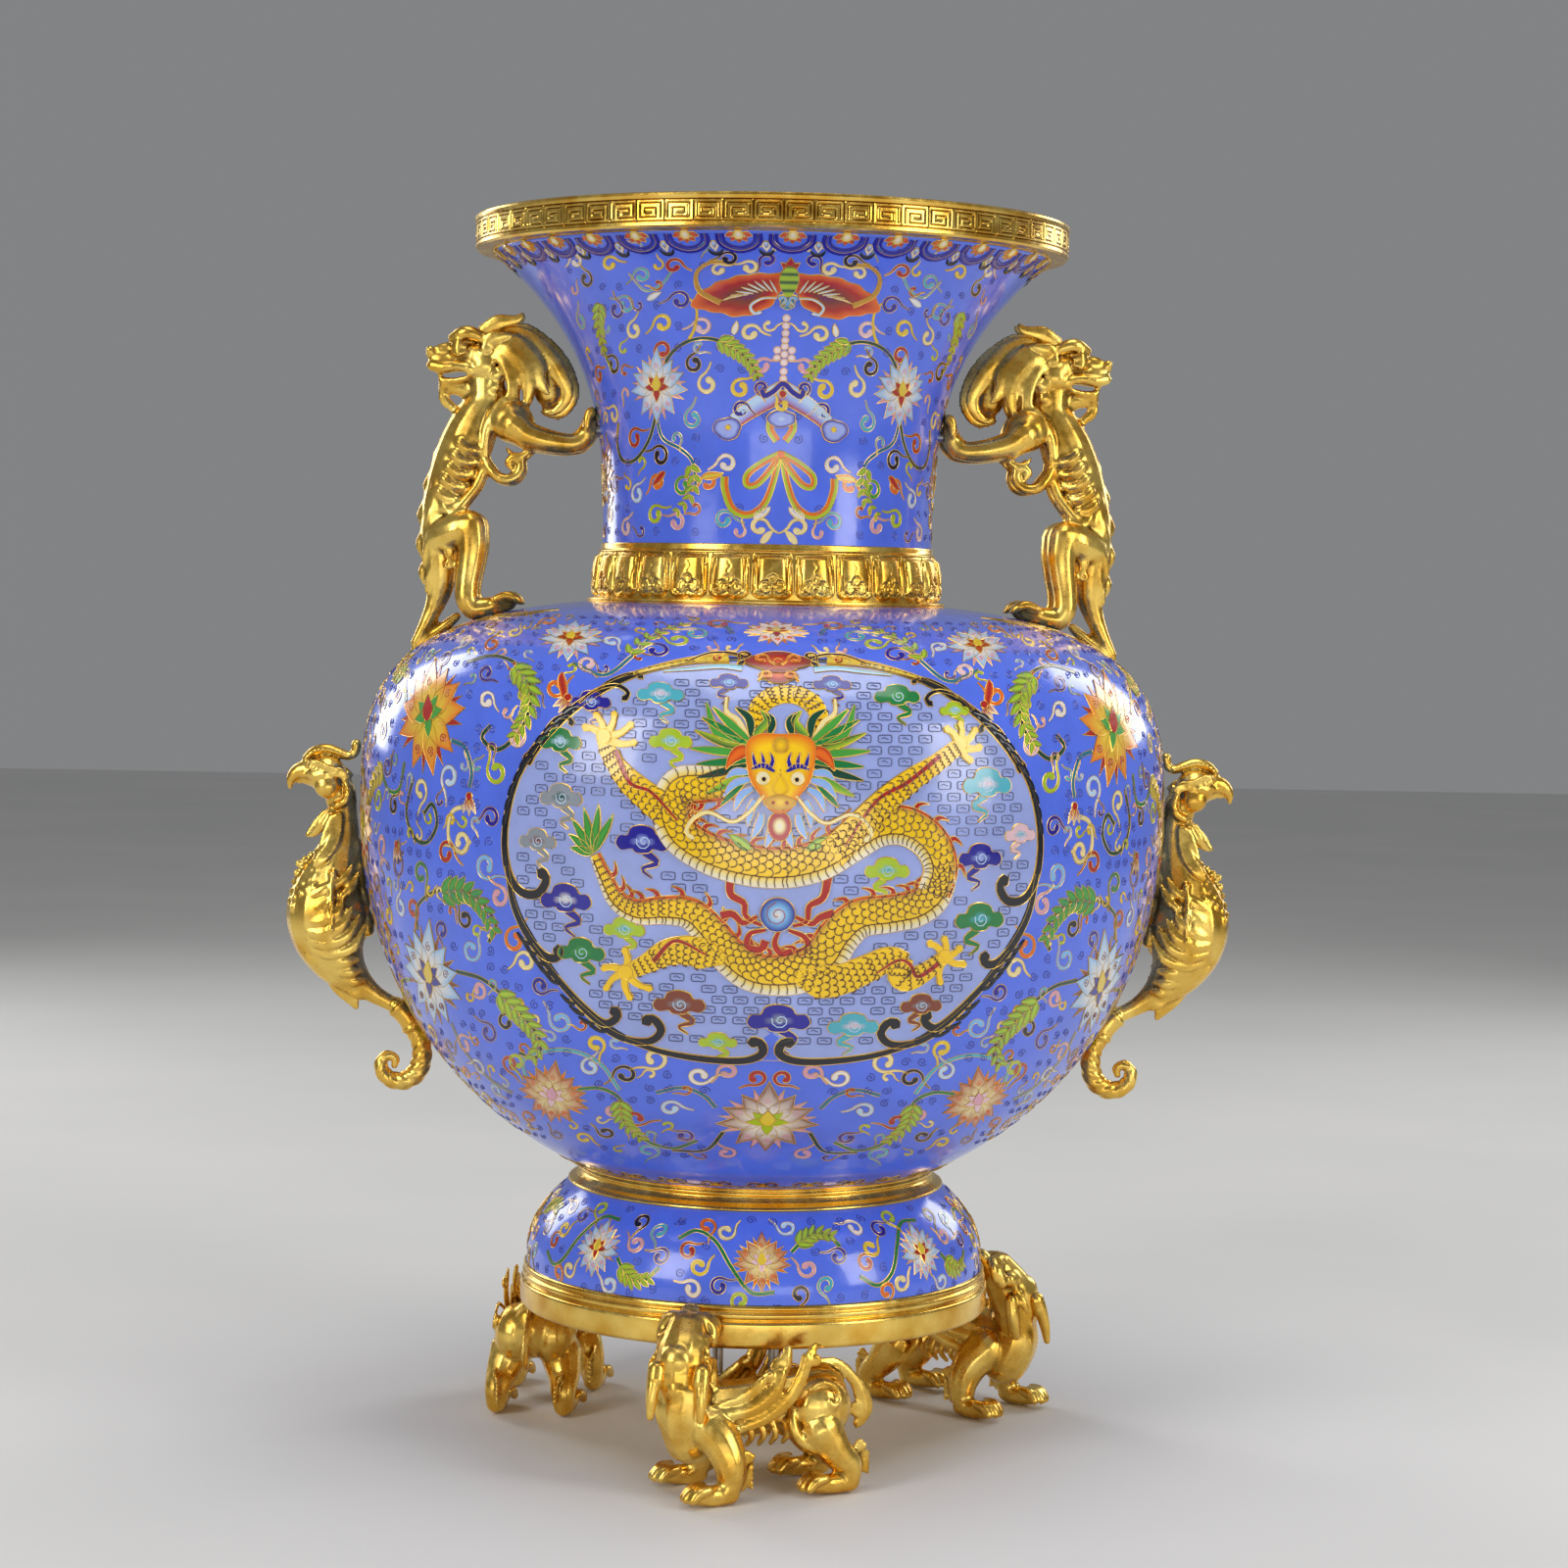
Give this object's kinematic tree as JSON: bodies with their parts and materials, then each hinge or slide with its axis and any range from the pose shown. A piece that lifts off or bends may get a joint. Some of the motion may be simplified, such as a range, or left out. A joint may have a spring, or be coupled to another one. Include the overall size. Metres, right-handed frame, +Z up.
{
  "type": "cloisonne vase",
  "caption": "Enamelled baluster vase with a flared mouth, gilt rings and lotus collar, gilt beast and bird side handles, and a ring base on cast beast feet.",
  "frame": {"origin": "on the floor, under the axis of the turned body", "axes": "+Z up the vase's axis, the handles in the XZ plane, -Y towards the front dragon medallion"},
  "size_m": [0.4716, 0.3962, 0.6],
  "materials": {
    "enamel": "gloss",
    "gilt": "polished",
    "steel": "satin"
  },
  "bodies": {
    "root": {"neck_shell": "enamel", "belly_shell": "enamel", "foot_shell": "enamel", "mouth_rim": "gilt", "neck_band": "gilt", "lotus_collar": "gilt", "waist_ring": "gilt", "base_ring": "gilt", "base_plate": "gilt", "beast_handle_right": "gilt", "beast_handle_left": "gilt", "beast_horns_right": "gilt", "beast_horns_left": "gilt", "bird_right": "gilt", "bird_left": "gilt", "bird_ferrule_right": "gilt", "bird_ferrule_left": "gilt", "bird_scroll_right": "gilt", "bird_scroll_left": "gilt", "foot_beast_front": "gilt", "foot_beast_right": "gilt", "foot_beast_left": "gilt", "foot_horns_front": "gilt", "foot_horns_right": "gilt", "foot_horns_left": "gilt", "tie_rod": "steel", "tie_rod_spreader": "steel", "tie_rod_upper_nut": "steel", "tie_rod_lower_nut": "steel", "beast_studs_right": "steel", "beast_studs_left": "steel", "beast_nuts_right": "steel", "beast_nuts_left": "steel", "bird_studs_right": "steel", "bird_studs_left": "steel", "bird_nuts_right": "steel", "bird_nuts_left": "steel", "foot_studs_front": "steel", "foot_studs_right": "steel", "foot_studs_left": "steel"}
  },
  "joints": []
}
